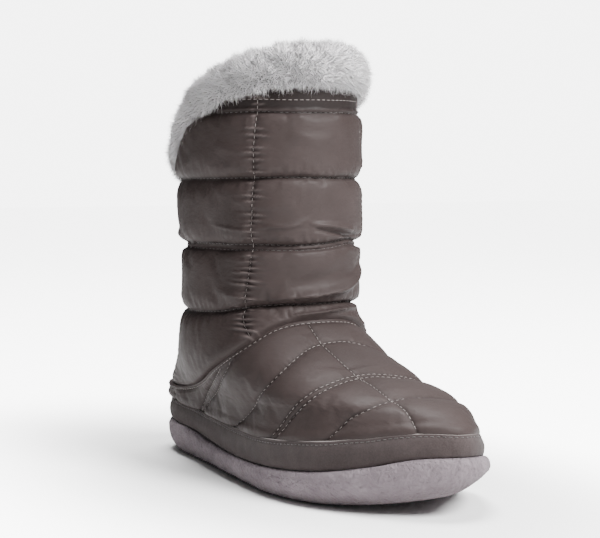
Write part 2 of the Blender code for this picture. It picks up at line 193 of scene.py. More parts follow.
BAND_SECTION = [
    # share of the band's height, distance out from the foot piece
    (0.00, 0.30), (0.00, 1.60), (0.03, 2.00), (0.12, 2.20), (0.25, 2.30), (0.38, 2.35), (0.50, 2.30),
    (0.60, 2.25), (0.70, 2.20), (0.78, 2.15), (0.84, 2.05), (0.87, 1.90), (0.90, 1.85), (0.93, 1.95),
    (0.96, 2.05), (0.985, 1.95), (1.00, 1.60), (1.01, 1.10), (1.00, 0.35), (0.66, 0.30), (0.33, 0.30),
]
BAND_STITCH_ROW = 12  # place in the section where the band is stitched down
SOLE_SECTION = [
    # inset, share of the height
    (30.0, 0.0), (22.0, 0.0), (16.0, 0.0), (12.0, 0.01), (9.0, 0.05), (6.6, 0.12), (4.6, 0.21), (2.9, 0.32),
    (1.5, 0.44), (0.5, 0.56), (0.0, 0.68), (0.05, 0.79), (0.45, 0.88), (1.1, 0.94), (2.0, 0.98), (3.2, 1.0),
    (5.0, 1.0), (14.0, 1.0),
]
FUR_SECTION = [
    # out from the cloth's edge, share of the fur's height
    (1.8, -0.02), (3.4, 0.10), (4.6, 0.28), (4.2, 0.50), (1.6, 0.68), (-2.4, 0.75), (-6.4, 0.69),
    (-9.2, 0.50), (-9.8, 0.24), (-8.0, 0.04), (-4.0, 0.0), (-1.0, 0.0),
]
AGLET_SECTION = [
    # distance from the cord's end, radius
    (0.0, 1.35), (0.4, 1.75), (1.2, 2.0), (2.4, 2.1), (5, 2.0), (9, 1.9), (14, 1.75), (19, 1.6),
    (AGLET_LENGTH - 1.6, 1.4), (AGLET_LENGTH - 0.5, 1.1), (AGLET_LENGTH, 0.6),
]


# ---------- shape of the frame
def hermite(f, a, b, slope_a, slope_b, step=1.0):
    """Smooth curve from a to b with a slope at each end, read at a share f of the step."""
    return ((2 * f**3 - 3 * f**2 + 1) * a + (f**3 - 2 * f**2 + f) * step * slope_a
            + (3 * f**2 - 2 * f**3) * b + (f**3 - f**2) * step * slope_b)


def along(xs, ys, x):
    """Smooth curve through a small table."""
    xs = np.asarray(xs, float)
    ys = np.asarray(ys, float)
    slope = np.gradient(ys, xs, axis=0)
    x = np.clip(x, xs[0], xs[-1])
    i = np.clip(np.searchsorted(xs, x, side="right") - 1, 0, len(xs) - 2)
    step = xs[i + 1] - xs[i]
    return hermite((x - xs[i]) / step, ys[i], ys[i + 1], slope[i], slope[i + 1], step)


def read_table(table, at):
    """Rows of a table, read smoothly at row numbers that may be fractions."""
    table = np.asarray(table, float)
    return np.stack([along(np.arange(len(table)), column, at) for column in table.T], -1)


def turn(count):
    """Angles round a ring: 0 at the heel, a quarter turn at the inner side."""
    return np.linspace(0.0, 2.0 * np.pi, count, endpoint=False)


def sole_outline(angle, inset):
    """Outline of the sole moved inwards: distance from the heel, and side."""
    def raw(a):
        t = (1.0 - np.cos(a)) / 2.0
        side = along(PLAN_T, PLAN_MID, t) + along(PLAN_T, PLAN_HALF, t) * np.sin(a)
        return LENGTH * t, side
    p, s = raw(angle)
    p1, s1 = raw(angle + 0.01)
    p0, s0 = raw(angle - 0.01)
    size = np.hypot(p1 - p0, s1 - s0)
    return p + inset * (s1 - s0) / size, s - inset * (p1 - p0) / size


def sole_height(table, p):
    """Height from one of the sole's tables at a distance from the heel."""
    return np.maximum(along(LEVEL_T, table, p / LENGTH), 0.0)


def toe_fall(p, s):
    """How much lower the sole's top lies on the inner side of the toe."""
    return TOE_FALL * np.clip((s + 20.0) / 65.0, 0.0, 1.0) * smooth((p - 165.0) / 50.0)


def sole_top(p, s):
    return sole_height(SOLE_TOP, p) - toe_fall(p, s)


def foot_inset(angle):
    """Inset of the foot piece's outer face from the sole's edge, behind the suede band."""
    p, _ = sole_outline(angle, 0.0)
    return HEEL_INSET + (RAND_INSET - HEEL_INSET) * smooth(p / 70.0) + RAND_THICK + GAP


def upper_rings(angle):
    """Rings of the upper's outer face: rings x columns x (side, p, z)."""
    lean = TOE_LEAN * smooth(-np.cos(angle) * 2.0 - 1.0)
    foot = foot_inset(angle)
    rings = []
    for inset, share in ((foot, 0.0), (foot - 0.8 + lean * 0.4, 0.5), (foot + 0.3 + lean, 1.0)):
        p, s = sole_outline(angle, inset)
        low = sole_top(p, s) + GAP
        high = sole_height(RAND_TOP, p) - toe_fall(p, s) * 2.0
        rings.append(np.stack([s, p, low + (high - low) * share], 1))
    for back, z0, front, z1, outer, inner, square, ellipse, middle in RINGS:
        span = front - back
        p0, s0 = sole_outline(angle, 8.0 - 4.5 * smooth(np.cos(angle)))
        p0 = back + span * (p0 - 3.5) / (LENGTH - 11.5)
        power = np.where(np.cos(angle) < 0.0, 2.0 / square, 2.0 / 2.1)
        p1 = back + span * (1.0 - np.sign(np.cos(angle)) * np.abs(np.cos(angle)) ** power) / 2.0
        half = np.where(np.sin(angle) > 0.0, inner, outer)
        s1 = middle + half * np.sign(np.sin(angle)) * np.abs(np.sin(angle)) ** power
        p = p0 + (p1 - p0) * ellipse
        s = s0 + (s1 - s0) * ellipse
        rings.append(np.stack([s, p, z0 + (z1 - z0) * (p - back) / span], 1))
    return np.array(rings)


def upper_point(rings, level):
    """Outer face at a level (ring number, may be a fraction) for every column."""
    count = len(rings)
    slope = np.gradient(rings, axis=0)
    level = np.clip(level, 0.0, count - 1.0)
    i = np.clip(level.astype(int), 0, count - 2)
    here, next_ring = (i, np.arange(rings.shape[1])), (i + 1, np.arange(rings.shape[1]))
    return hermite((level - i)[:, None], rings[here], rings[next_ring], slope[here], slope[next_ring])


def above(points, edge):
    """Height of points above an edge of the upper."""
    return points[..., 2] - along(*edge, points[..., 1])


def level_where(rings, edge, lift=0.0):
    """Level where each column of the upper passes a height above an edge."""
    low = np.full(rings.shape[1], 2.0)
    high = np.full(rings.shape[1], len(rings) - 1.0)
    for _ in range(32):
        middle = (low + high) / 2.0
        over = above(upper_point(rings, middle), edge) > lift
        high = np.where(over, middle, high)
        low = np.where(over, low, middle)
    return (low + high) / 2.0


def unit(vectors):
    return vectors / np.linalg.norm(vectors, axis=-1, keepdims=True)


def normals_of(points):
    """Outward unit normals of a grid rows x columns whose rows run round the boot."""
    up = np.gradient(points, axis=0)
    round_ = np.roll(points, -1, 1) - np.roll(points, 1, 1)
    normal = np.cross(round_, up)
    return normal / np.maximum(np.linalg.norm(normal, axis=2, keepdims=True), 1e-9)


def outward(ring):
    """Horizontal outward directions of a ring of points."""
    ahead = np.roll(ring, -1, 0) - np.roll(ring, 1, 0)
    return unit(np.stack([ahead[:, 1], -ahead[:, 0], np.zeros(len(ring))], 1))


def arc_up(points):
    """Length from the first row up to each point of a grid, along its column."""
    step = np.linalg.norm(np.diff(points, axis=0), axis=2)
    return np.concatenate([np.zeros((1, points.shape[1])), np.cumsum(step, axis=0)])


def upper_grid(columns, rows, low, high):
    """Grid on the upper's outer face: angles round it, levels, points and outward normals.

    low and high are levels, or edges with the height above them.
    """
    angle = turn(columns)
    rings = upper_rings(angle)
    low, high = (level_where(rings, *end) if isinstance(end, tuple) else end for end in (low, high))
    levels = low + (high - low)[None, :] * np.linspace(0.0, 1.0, rows)[:, None]
    base = np.stack([upper_point(rings, row) for row in levels])
    return angle, levels, base, normals_of(base)


def to_frame(points):
    points = np.asarray(points, float)
    return np.stack([points[..., 0], HEEL_Y - points[..., 1], points[..., 2]], -1) * 0.001


# ---------- noise and profiles
def smooth(x, low=0.0, high=1.0):
    x = np.clip((x - low) / (high - low), 0.0, 1.0)
    return x * x * (3.0 - 2.0 * x)


def bell(distance, width):
    """One at a distance of zero, and next to nothing past twice the width."""
    return np.exp(-(distance / width) ** 2)


def lattice(ix, iy, seed):
    """A number from -1 to 1 for each whole place, mixed from its bits."""
    n = (ix * 374761393 + iy * 668265263 + seed * 974634777) & 0xFFFFFFFF
    n = ((n ^ (n >> 13)) * 1274126177) & 0xFFFFFFFF
    return ((n ^ (n >> 16)) & 0xFFFF) / 32767.5 - 1.0


def noise(u, v, seed=0, wrap=None):
    """Smooth value noise from -1 to 1 with cells of size 1; wrap makes it repeat in u."""
    iu, iv = np.floor(u).astype(np.int64), np.floor(v).astype(np.int64)
    fu, fv = smooth(u - iu), smooth(v - iv)
    ju = iu + 1
    if wrap:
        iu, ju = iu % wrap, ju % wrap
    low = lattice(iu, iv, seed) * (1 - fu) + lattice(ju, iv, seed) * fu
    high = lattice(iu, iv + 1, seed) * (1 - fu) + lattice(ju, iv + 1, seed) * fu
    return low * (1 - fv) + high * fv


def round_noise(angle, cells, across, seed):
    """Noise with a whole number of cells round the boot."""
    return noise(angle / (2 * np.pi) * cells, across, seed, wrap=cells)


def layered(angle, across, layers):
    """Noise round the boot in layers of (height, cells round it, size of a cell across, seed)."""
    return sum(tall * round_noise(angle, cells, across / size, seed) for tall, cells, size, seed in layers)


def shoulder(distance, width, power=2.3):
    """Rise of stuffed cloth away from a stitched line: steep at the line, flat past width."""
    f = np.clip(distance / width, 0.0, 1.0)
    return (1.0 - (1.0 - f) ** power) ** 0.6


def pillow(distance, width):
    """Rise of tightly stuffed cloth: nearly upright at its stitches and flat between them."""
    f = np.clip(distance / width, 0.0, 1.0)
    return (1.0 - (1.0 - f) ** 4) ** 0.40


def lapped(depth):
    """Rise of the cloth below a lapped seam: a flat strip, its stitched line, then the baffle."""
    notch = 0.16 * bell(depth - LAP, 0.6)
    return 0.5 * shoulder(depth, 1.0) - notch + 0.5 * pillow(np.maximum(depth - LAP, 0.0), 10.0)


def ridge(x):
    """Sharp crests and round troughs from a smooth noise value."""
    return 1.0 - np.abs(x) * 2.0


# ---------- lines
def runs(line):
    """Length along a polyline up to each of its points."""
    return np.concatenate([[0.0], np.cumsum(np.linalg.norm(np.diff(line, axis=0), axis=1))])


def read(length, values, at):
    """Points or normals of a polyline, read at some lengths along it."""
    return np.stack([np.interp(at, length, values[:, k]) for k in range(3)], -1)


def soften(line, times):
    """Evens out a polyline between its two ends, in place."""
    for _ in range(times):
        line[1:-1] = (line[:-2] + 2 * line[1:-1] + line[2:]) / 4
    return line


def even(line, step):
    """A polyline's points again at even steps."""
    length = runs(line)
    return read(length, line, np.linspace(0.0, length[-1], max(2, int(round(length[-1] / step))) + 1))


def trace(field, grid):
    """A grid's values along the line where a field crosses zero, in order of the last value."""
    spots = []
    for axis in (0, 1):
        after = np.roll(field, -1, axis)
        hit = field * after < 0.0
        hit[(slice(None),) * axis + (-1,)] = False
        f = (field / np.where(hit, field - after, 1.0))[hit][:, None]
        spots.append(grid[hit] * (1 - f) + np.roll(grid, -1, axis)[hit] * f)
    spots = np.concatenate(spots)
    return spots[np.argsort(spots[:, -1])]


def chain(spots):
    """Scattered points of a line in order along it, from its lowest end."""
    left = np.ones(len(spots), bool)
    at = int(np.argmin(spots[:, 2]))
    order = []
    while True:
        order.append(at)
        left[at] = False
        away = np.linalg.norm(spots[:, :3] - spots[at, :3], axis=1)
        away[~left] = 1e9
        at = int(np.argmin(away))
        if away[at] > LINE_BREAK:
            break
    return spots[order]


# ---------- meshes
def new_mesh(name, verts, faces, material):
    """A smooth mesh piece from points in millimetres."""
    mesh = bpy.data.meshes.new(name)
    mesh.from_pydata(to_frame(verts), [], faces)
    mesh.validate()
    mesh.shade_smooth()
    mesh.materials.append(material)
    piece = bpy.data.objects.new(name, mesh)
    bpy.context.scene.collection.objects.link(piece)
    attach(piece, "root")
    return piece


def tube_faces(rows, columns, closed=True):
    """Quads between rings of points; closed joins the last ring to the first."""
    j = np.arange(rows if closed else rows - 1)[:, None]
    i = np.arange(columns)[None, :]
    k = (j + 1) % rows
    n = (i + 1) % columns
    quads = np.stack([j * columns + i, k * columns + i, k * columns + n, j * columns + n], -1)
    return quads.reshape(-1, 4)


def sleeve(name, outer, inner, material):
    """Closed hollow piece from an outer grid of rows and an inner one, both bottom to top."""
    rows = np.concatenate([outer, inner[::-1]])
    return new_mesh(name, rows.reshape(-1, 3), tube_faces(len(rows), rows.shape[1]), material)


def slab(name, rings, material):
    """Solid from rings bottom to top, its two ends covered by strips across."""
    count = rings.shape[1]
    half = count // 2
    i = np.arange(1, half - 1)
    strip = np.stack([i, i + 1, count - i - 1, count - i], 1)
    last = (len(rings) - 1) * count
    faces = [tube_faces(len(rings), count, closed=False), strip, last + strip[:, ::-1]]
    return new_mesh(name, rings.reshape(-1, 3), np.concatenate(faces), material)


def sweep(name, line, radii, material, sides):
    """Tube along a line, drawn in at its ends; radii has one half width a point, or one for each side."""
    radii = np.broadcast_to(radii, (len(line), sides))
    tangent = unit(np.gradient(line, axis=0))
    side = np.cross(tangent[0], OFF_AXIS)
    around = turn(sides)[:, None]
    rings = []
    for point, t, r in zip(line, tangent, radii):
        side = unit(side - t * np.dot(side, t))
        rings.append(point + (np.cos(around) * side + np.sin(around) * np.cross(t, side)) * r[:, None])
    first, last = (line[k] * (1 - TUBE_END) + rings[k] * TUBE_END for k in (0, -1))
    verts = np.concatenate([first, *rings, last])
    return new_mesh(name, verts, tube_faces(len(line) + 2, sides, closed=False)[:, ::-1], material)


def shade(piece, name, values):
    """Stores one number a vertex for the piece's material to read; the last ones are 0 if left out."""
    layer = piece.data.attributes.new(name, "FLOAT", "POINT")
    numbers = np.zeros(len(layer.data), np.float32)
    numbers[:np.size(values)] = np.ravel(values)
    layer.data.foreach_set("value", numbers)


def nylon_piece(name, outer, inner, crease_shade, shaded_casing, crest_highlight):
    piece = sleeve(name, outer, inner, MATERIALS["nylon"])
    for key, values in (("crease_shade", crease_shade), ("shaded_casing", shaded_casing), ("crest_highlight", crest_highlight)):
        shade(piece, key, values)
    return piece


# ---------- materials
class Nodes:
    """A node tree with one short call for any node."""

    def __init__(self, tree):
        self.tree = tree

    def put(self, socket, value):
        """Links an output to a socket, or gives the socket a number, a vector or a colour."""
        if isinstance(value, bpy.types.NodeSocket):
            self.tree.links.new(value, socket)
        else:
            socket.default_value = (*value, 1.0) if socket.type == "RGBA" else value

    def add(self, kind, out, sockets=(), **settings):
        """A new node's output; sockets are (name, value) pairs."""
        node = self.tree.nodes.new("ShaderNode" + kind)
        for key, value in settings.items():
            setattr(node, key, value)
        for key, value in sockets:
            self.put(node.inputs[key], value)
        return node.outputs[out]

    def math(self, kind, a, b):
        return self.add("Math", "Value", ((0, a), (1, b)), operation=kind)

    def span(self, value, low, high, first, last):
        """A smooth step from first to last, while a value goes from low to high."""
        ends = (("From Min", low), ("From Max", high), ("To Min", first), ("To Max", last))
        return self.add("MapRange", "Result", (("Value", value), *ends), interpolation_type="SMOOTHSTEP")


class Shader(Nodes):
    """A material with a principled shader, and short calls for the nodes that the looks use."""

    def __init__(self, name, **constants):
        self.material = bpy.data.materials.new(name)
        self.material.use_nodes = True
        super().__init__(self.material.node_tree)
        self.shader = self.tree.nodes["Principled BSDF"]
        for key, value in constants.items():
            self.shader.inputs[key.replace("_", " ")].default_value = value
        self.place = self.add("TexCoord", "Object")

    def noise(self, scale, detail=3.0, rough=0.55, stretch=None, distortion=0.0):
        place = self.place
        if stretch:
            place = self.add("Mapping", "Vector", (("Scale", stretch), ("Vector", place)))
        sockets = (("Scale", scale), ("Detail", detail), ("Roughness", rough), ("Distortion", distortion))
        return self.add("TexNoise", "Fac", (("Vector", place), *sockets))

    def wave(self, scale, way):
        return self.add("TexWave", "Fac", (("Scale", scale), ("Vector", self.place)), bands_direction=way)

    def stored(self, name):
        return self.add("Attribute", "Fac", attribute_name=name)

    def ramp(self, value, low, dark, high, pale):
        """Colours from dark to pale, while a value goes from low to high."""
        socket = self.add("ValToRGB", "Color", (("Fac", value),))
        for stop, at, colour in zip(socket.node.color_ramp.elements, (low, high), (dark, pale)):
            stop.position = at
            stop.color = (*colour, 1.0)
        return socket

    def mix(self, amount, a, b):
        return self.add("Mix", "Result", (("Factor", amount), ("A", a), ("B", b)), data_type="RGBA")

    def bump(self, height, distance, strength):
        """Adds a bump to the shader, on top of any it has; distance is in millimetres."""
        sockets = (("Strength", strength), ("Distance", distance * 0.001), ("Height", height))
        bump = self.add("Bump", "Normal", sockets)
        before = self.shader.inputs["Normal"]
        if before.is_linked:
            self.put(bump.node.inputs["Normal"], before.links[0].from_socket)
        self.put(before, bump)

    def colour(self, socket):
        self.put(self.shader.inputs["Base Color"], socket)


def nylon_material():
    """Satin taupe nylon: fine weave, soft mottling, painted shade in the stitched grooves and on the casing,
    painted highlights on the crests.
    """
    s = Shader("nylon", Roughness=0.52, Specular_IOR_Level=0.12)
    tone = s.ramp(s.noise(38.0, 4.0), 0.32, (0.0315, 0.0234, 0.0223), 0.7, (0.0400, 0.0300, 0.0288))
    # Painted shade: darker along the stitched creases and grooves.
    tone = s.mix(s.stored("crease_shade"), tone, (0.015, 0.0112, 0.0104))
    # Painted shade: the casing under the fur is darker.
    tone = s.mix(s.stored("shaded_casing"), tone, (0.0145, 0.0108, 0.0104))
    # Painted highlight: paler on the crests across the uprights and on the foot's puckers.
    s.colour(s.mix(s.math("MULTIPLY", s.stored("crest_highlight"), 0.5), tone, (0.125, 0.102, 0.098)))
    rough = s.ramp(s.noise(150.0), 0.3, (0.46, 0.46, 0.46), 0.7, (0.58, 0.58, 0.58))
    s.put(s.shader.inputs["Roughness"], rough)
    s.bump(s.noise(260.0, 4.0, stretch=(1.0, 1.0, 2.2)), 0.35, 0.5)
    s.bump(s.math("MULTIPLY", s.wave(1050.0, "X"), s.wave(1050.0, "Z")), 0.03, 0.35)
    return s.material


def suede_material():
    """Brushed taupe suede: patchy nap, fine fibres, a paler cut edge that is partly a painted highlight."""
    s = Shader("suede", Roughness=0.95, Sheen_Weight=0.08, Sheen_Roughness=0.6, Specular_IOR_Level=0.1)
    nap = s.noise(75.0, 5.0, 0.65, distortion=0.6)
    nap = s.ramp(nap, 0.30, (0.027, 0.0200, 0.0196), 0.70, (0.046, 0.0348, 0.0345))
    fibre = s.noise(1300.0, 3.0, 0.7)
    nap = s.mix(0.35, nap, s.ramp(fibre, 0.25, (0.020, 0.0152, 0.015), 0.8, (0.075, 0.059, 0.0575)))
    # Paler cut edge along the rolled top: partly the suede's own raw edge, partly a painted highlight.
    s.colour(s.mix(s.stored("edge"), nap, (0.24, 0.215, 0.205)))
    s.bump(fibre, 0.12, 0.8)
    s.bump(s.noise(240.0), 0.4, 0.35)
    return s.material


def foam_material():
    """Pale lilac-grey moulded foam with a pebbled skin and painted shade low down."""
    s = Shader("foam", Roughness=0.85, Sheen_Weight=0.05, Specular_IOR_Level=0.2)
    tone = s.ramp(s.noise(60.0, 4.0), 0.3, (0.130, 0.106, 0.118), 0.7, (0.190, 0.159, 0.174))
    # Painted shade: darker on the lowest rows of the sole.
    s.colour(s.mix(s.math("MULTIPLY", s.stored("low"), 0.45), tone, (0.085, 0.067, 0.071)))
    s.bump(s.noise(380.0, 4.0, 0.65), 1.8, 1.0)
    cells = s.add("TexVoronoi", "Distance", (("Scale", 560.0), ("Vector", s.place)), feature="SMOOTH_F1")
    s.bump(cells, 0.8, 0.9)
    return s.material


def plain_material(name, grain, dark, pale, bump, distance, strength, **constants):
    """A mottled colour and one bump; grain and bump say the noise of each."""
    s = Shader(name, **constants)
    s.colour(s.ramp(s.noise(*grain), 0.3, dark, 0.7, pale))
    s.bump(s.noise(*bump), distance, strength)
    return s.material


def thread_material(name, colour):
    s = Shader(name, Roughness=0.6, Sheen_Weight=0.2)
    s.colour(s.ramp(s.noise(600.0, 2.0), 0.3, tuple(c * 0.7 for c in colour), 0.7, colour))
    s.bump(s.wave(900.0, "DIAGONAL"), 0.05, 0.5)
    return s.material


def fur_material(name, pale, shadow):
    s = Shader(name, Roughness=0.9, Sheen_Weight=0.3, Sheen_Roughness=0.5, Specular_IOR_Level=0.1)
    tone = s.ramp(s.noise(120.0), 0.3, tuple(0.94 * c for c in pale), 0.7, pale)
    s.colour(s.mix(s.stored("depth"), tone, shadow))
    return s.material


def floor_material():
    """White paper floor that brightens away from the boot, so it meets the backdrop unseen."""
    s = Shader("floor", Roughness=0.85, Specular_IOR_Level=0.05, Emission_Color=(1.0, 1.0, 1.0, 1.0))
    seen = s.add("LightPath", "Is Camera Ray")
    white = s.ramp(s.noise(3.0, 2.0), 0.3, (0.93, 0.93, 0.93), 0.7, (0.95, 0.95, 0.95))
    s.colour(s.mix(seen, (0.86, 0.86, 0.86), white))
    squeeze = s.add("Mapping", "Vector", (("Vector", s.place), ("Scale", (1.0 / 0.085, 1.0 / 0.165, 1.0))))
    far = s.add("VectorMath", "Value", ((0, squeeze),), operation="LENGTH")
    glow = s.math("MULTIPLY", s.span(far, 0.8, 2.3, 0.0, BACKDROP * 0.9), seen)
    s.put(s.shader.inputs["Emission Strength"], glow)
    return s.material


# ---------- camera, light, floor
CAMERA_AZIMUTH = math.radians(-33.0)
CAMERA_DISTANCE = 0.842
CAMERA_HEIGHT = 0.1645
AIM = Vector((-0.004, 0.004, 0.112))
LENS = 94.0
BACKDROP = 6.0  # brightness of the white backdrop as it is seen
SKY = 0.45  # brightness of the light that comes from all round
LEFT = (-0.84, 0.54, 0.0)  # the camera's left
FLOOR_REACH, FLOOR_Z = 6.0, -0.0004


def aim_at(thing, place, target):
    """Puts a camera or a lamp in the scene and points it at a target."""
    thing.location = place
    thing.rotation_mode = "QUATERNION"
    thing.rotation_quaternion = (target - thing.location).to_track_quat("-Z", "Y")
    bpy.context.scene.collection.objects.link(thing)


def place_camera():
    camera = bpy.data.objects.new("camera", bpy.data.cameras.new("camera"))
    camera.data.lens = LENS
    place = (CAMERA_DISTANCE * math.sin(CAMERA_AZIMUTH), -CAMERA_DISTANCE * math.cos(CAMERA_AZIMUTH),
             CAMERA_HEIGHT)
    aim_at(camera, place, AIM)
    bpy.context.scene.camera = camera


def area_light(name, place, size, watts):
    light = bpy.data.lights.new(name, "AREA")
    light.shape = "DISK"
    light.size = size
    light.energy = watts
    lamp = bpy.data.objects.new(name, light)
    aim_at(lamp, place, Vector((0.0, 0.0, 0.1)))


def build_studio():
    """Soft light from the front and above, less from both sides, and a plain white backdrop."""
    world = bpy.data.worlds.new("studio")
    world.use_nodes = True
    bpy.context.scene.world = world
    n = Nodes(world.node_tree)
    way = n.add("TexCoord", "Generated")
    left = n.add("VectorMath", "Value", ((0, way), (1, LEFT)), operation="DOT_PRODUCT")
    sides = (n.span(left, -0.1, 0.75, SKY, 0.12 * SKY), n.span(left, -0.95, -0.35, 0.3, 1.0))
    light = n.math("MULTIPLY", *sides)
    seen = n.add("LightPath", "Is Camera Ray")
    background = n.tree.nodes["Background"]
    n.put(background.inputs["Color"], (1.0, 1.0, 1.0))
    shown = n.add("Mix", "Result", (("Factor", seen), ("A", light), ("B", BACKDROP)))
    n.put(background.inputs["Strength"], shown)
    area_light("key", (0.32, -0.92, 0.95), 0.60, 50.0)
    area_light("overhead", (0.10, 0.22, 1.65), 0.9, 57.0)
    mesh = bpy.data.meshes.new("floor")
    corners = ((-1, -1), (1, -1), (1, 1), (-1, 1))
    mesh.from_pydata([(FLOOR_REACH * x, FLOOR_REACH * y, FLOOR_Z) for x, y in corners], [], [(0, 1, 2, 3)])
    mesh.materials.append(floor_material())
    floor = bpy.data.objects.new("floor", mesh)
    bpy.context.scene.collection.objects.link(floor)


# ---------- drawcord
def cord_line(side):
    """Line of one drawcord end, as in the part's source."""
    heights = np.linspace(CORD_TOP, CORD_END, 17)
    depth = CORD_P - CORD_SWING * smooth((152.0 - heights) / 11.0)
    return np.stack([np.full(len(heights), side), depth, heights], 1)


def knot_line():
    """Loop of the half knot round both hanging ends."""
    angle = np.linspace(-0.42 * np.pi, 1.42 * np.pi, 23)
    reach = 2 * CORD_RADIUS + GAP * 1.7
    return np.stack([np.cos(angle) * (reach + CORD_SIDE), KNOT_P - np.sin(angle) * reach,
                     KNOT_Z + 0.9 * np.cos(angle)], 1)


def braided(name, line, material):
    """Round braid: strands that cross as they wind both ways round the cord."""
    fine = even(line, BRAID_STEP)
    around = turn(24)
    wind = np.arange(len(fine))[:, None] * BRAID_STEP / BRAID_LAY * 2 * np.pi
    strands = np.maximum(np.abs(np.sin(2 * (around + wind))), np.abs(np.sin(2 * (around - wind))))
    return sweep(name, fine, CORD_RADIUS * (0.88 + 0.13 * strands), material, sides=24)


def build_drawcord():
    braid, tip = MATERIALS["braid"], MATERIALS["cord_end"]
    knot = braided("cord_knot", knot_line(), braid)
    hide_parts("drawcord_knot")
    for name, side in (("inner", CORD_SIDE), ("outer", -CORD_SIDE)):
        line = cord_line(side)
        cord = braided("cord_" + name, line, braid)
        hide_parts("drawcord_" + name)
        drop, radii = np.array(AGLET_SECTION).T
        centre = line[-1] - np.outer(GAP + drop, (0.0, 0.0, 1.0))
        aglet = sweep("cord_tip_" + name, centre, radii[:, None], tip, sides=20)
        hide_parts("aglet_" + name)


# ---------- stitches
def stitches(name, lines, material, pitch=STITCH, radius=0.21):
    """Short threads along lines of (points, normals); each thread dips in at its ends."""
    offsets = np.array([-1.0, -0.8, -0.3, 0.3, 0.8, 1.0]) * pitch * THREAD_SHARE
    lift = np.array([-0.35, 0.02, 0.2, 0.2, 0.02, -0.35])[:, None]
    size = np.array([0.25, 0.85, 1.0, 1.0, 0.85, 0.25])[:, None, None] * radius
    sides = 5
    around = turn(sides)[:, None]
    verts = []
    for line, normal in (line for line in lines if line is not None):
        length = runs(line)
        count = int(length[-1] / pitch)
        for at in (np.arange(count) + 0.5) * (length[-1] / max(count, 1)):
            point = read(length, line, at + offsets)
            up = unit(read(length, normal, at))
            across = np.cross(unit(point[-1] - point[0]), up)
            ring = size * (np.cos(around) * across + np.sin(around) * up)
            verts.append((point + up * lift)[:, None, :] + ring)
    each = len(offsets) * sides
    faces = tube_faces(len(offsets), sides, closed=False) + each * np.arange(len(verts))[:, None, None]
    return new_mesh(name, np.reshape(verts, (-1, 3)), faces.reshape(-1, 4), material)


def line_on(field, points, normals, angle=None):
    """Stitch line on a grid where a field is zero, with the cloth's normals along it."""
    order = np.zeros(field.shape) if angle is None else angle
    spots = trace(field, np.concatenate([points, normals, order[..., None]], 2))
    if len(spots) < 3:
        return None
    if angle is None:
        spots = soften(chain(spots), 3)
    length = runs(spots[:, :3])
    at = np.linspace(0.0, length[-1], max(3, int(length[-1] / LINE_STEP)))
    return soften(read(length, spots, at), 4), read(length, spots[:, 3:], at)


def steepness(field, points):
    """Size of a field's slope along the surface of a grid, for turning it into a distance."""
    up = np.linalg.norm(np.gradient(points, axis=0), axis=2)
    round_ = np.linalg.norm((np.roll(points, -1, 1) - np.roll(points, 1, 1)) / 2, axis=2)
    rise = np.gradient(field, axis=0) / np.maximum(up, 0.02)
    run = (np.roll(field, -1, 1) - np.roll(field, 1, 1)) / 2 / np.maximum(round_, 0.02)
    return np.maximum(np.hypot(rise, run), 0.15)


# ---------- cloth
def refine(grid, rows, columns):
    """A grid that closes on itself round the boot, read again with more rows and columns."""
    def between(count, at):
        i = np.clip(at.astype(int), 0, count)
        return i, 0.35 * smooth(at - i) + 0.65 * (at - i)
    i, f = between(len(grid) - 2, np.linspace(0.0, len(grid) - 1.0, rows))
    grid = grid[i] * (1 - f)[:, None] + grid[i + 1] * f[:, None]
    count = grid.shape[1]
    i, f = between(count, np.arange(columns) * count / columns)
    return grid[:, i % count] * (1 - f) + grid[:, (i + 1) % count] * f


def inflate(points, pin, growth, pressure, stiff):
    """Blows up a stitched sheet of nylon with Blender's cloth; pin is 1 along the stitches.

    The sheet is simulated at ten times its size and grows a little, so that it swells between
    its stitches and gathers beside them. Returns the sheet's points in millimetres.
    """
    rows, columns = points.shape[:2]
    mesh = bpy.data.meshes.new("sheet")
    flat = points.reshape(-1, 3) * SHEET_SCALE
    mesh.from_pydata(flat.tolist(), [], tube_faces(rows, columns, closed=False)[:, ::-1].tolist())
    sheet = bpy.data.objects.new("sheet", mesh)
    bpy.context.scene.collection.objects.link(sheet)
    group = sheet.vertex_groups.new(name="pin")
    steps = np.round(pin.ravel() * PIN_STEPS).astype(int)
    for step in range(1, PIN_STEPS + 1):
        group.add(np.nonzero(steps == step)[0].tolist(), step / PIN_STEPS, "REPLACE")
    cloth = sheet.modifiers.new("cloth", "CLOTH")
    own = {"bending_stiffness": stiff, "uniform_pressure_force": pressure, "shrink_min": -growth}
    for key, value in {**CLOTH, **own}.items():
        setattr(cloth.settings, key, value)
    cloth.settings.effector_weights.gravity = 0.0
    cloth.collision_settings.use_collision = False
    cloth.point_cache.frame_end = CLOTH_FRAMES
    for frame_number in range(1, CLOTH_FRAMES + 1):
        bpy.context.scene.frame_set(frame_number)
    result = sheet.evaluated_get(bpy.context.evaluated_depsgraph_get()).data
    moved = np.empty(len(flat) * 3, np.float32)
    result.vertices.foreach_get("co", moved)
    bpy.data.objects.remove(sheet, do_unlink=True)
    bpy.data.meshes.remove(mesh)
    bpy.context.scene.frame_set(1)
    return moved.reshape(rows, columns, 3).astype(float) / SHEET_SCALE


